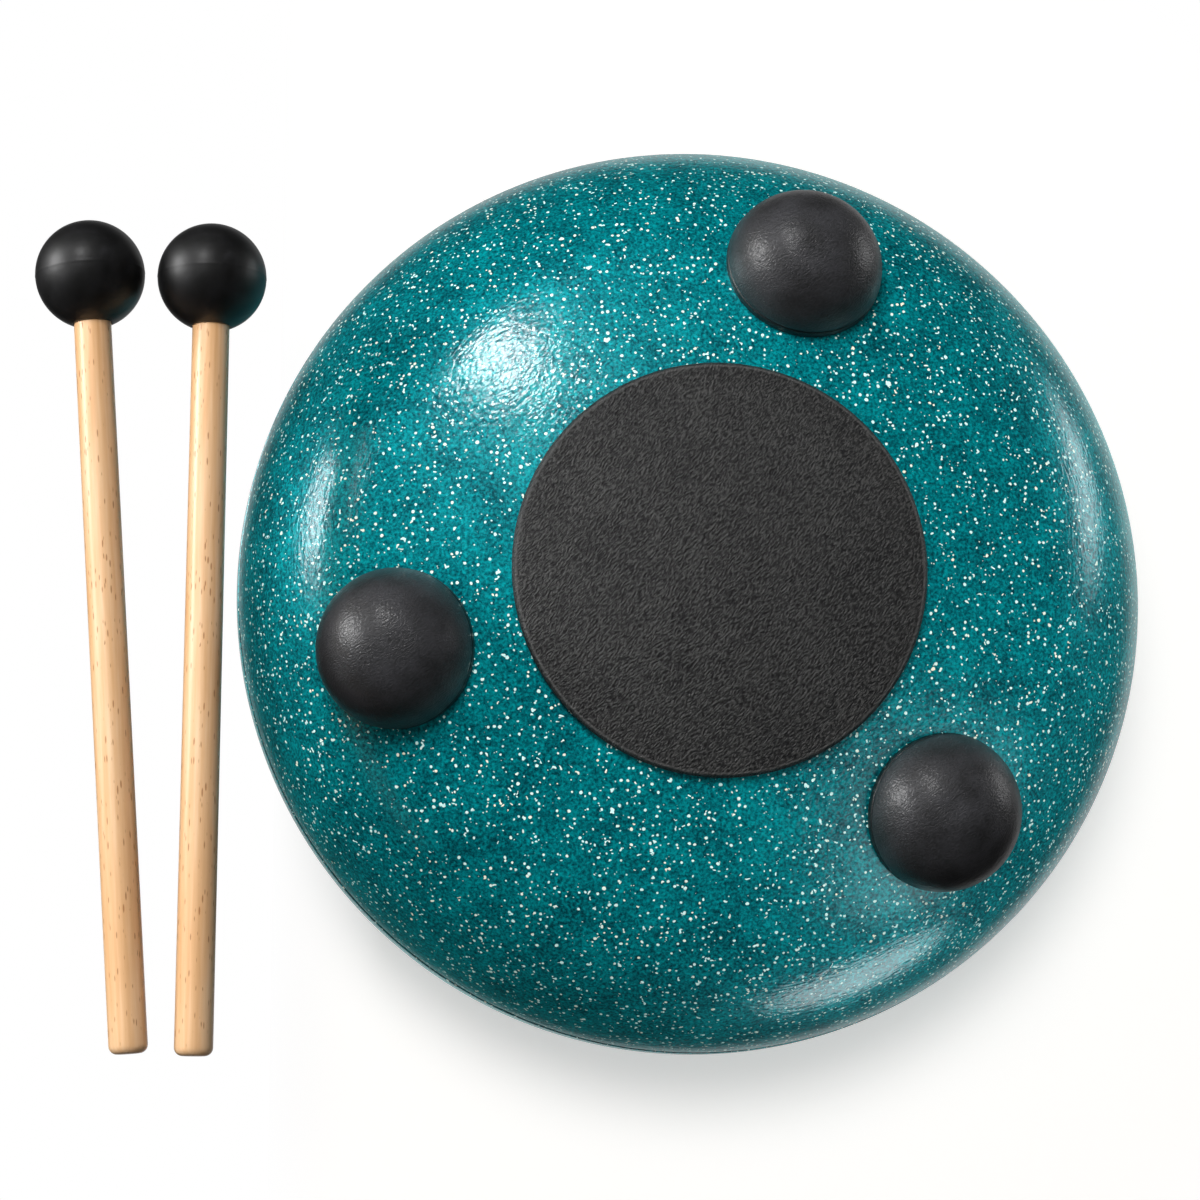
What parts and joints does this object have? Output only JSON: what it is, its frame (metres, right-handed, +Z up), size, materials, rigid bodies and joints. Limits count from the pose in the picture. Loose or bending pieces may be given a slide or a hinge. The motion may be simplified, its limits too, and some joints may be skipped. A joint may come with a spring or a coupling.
{
  "type": "steel tongue drum",
  "caption": "Round enamelled steel tongue drum with radial tongues on top, rubber feet and a leather base pad below, and a pair of ball-headed mallets lying beside it.",
  "frame": {"origin": "middle of the whole set at floor level; the drum's own axis is at x = -16.05 mm, y = 0", "axes": "+Z up out of the tongue face, +X from the drum towards the mallets, +Y from the mallets' tails to their heads"},
  "size_m": [0.187, 0.155, 0.0884],
  "materials": {
    "enamel": "gloss teal enamel with pale flecks",
    "weld": "dark, satin",
    "pad": "fine grain, satin",
    "adhesive": "matte",
    "foot_rubber": "fine texture, satin",
    "zinc_steel": "zinc plated",
    "beech": "satin",
    "head_rubber": "matte"
  },
  "bodies": {
    "drum": {"top_shell": "enamel", "bottom_shell": "enamel", "seam_weld": "weld", "base_pad": "pad", "pad_adhesive": "adhesive", "foot_1": "foot_rubber", "foot_2": "foot_rubber", "foot_3": "foot_rubber", "foot_stud_1": "zinc_steel", "foot_stud_2": "zinc_steel", "foot_stud_3": "zinc_steel", "foot_washer_1": "zinc_steel", "foot_washer_2": "zinc_steel", "foot_washer_3": "zinc_steel", "foot_nut_1": "zinc_steel", "foot_nut_2": "zinc_steel", "foot_nut_3": "zinc_steel"},
    "mallet_1": {"mallet_stick_1": "beech", "mallet_head_1": "head_rubber"},
    "mallet_2": {"mallet_stick_2": "beech", "mallet_head_2": "head_rubber"}
  },
  "joints": [
    {"name": "mallet_1_lift", "type": "slide", "parent": "drum", "child": "mallet_1", "axis": [0, 0, 1], "range_m": [0, 0.12]},
    {"name": "mallet_2_lift", "type": "slide", "parent": "drum", "child": "mallet_2", "axis": [0, 0, 1], "range_m": [0, 0.12]}
  ]
}
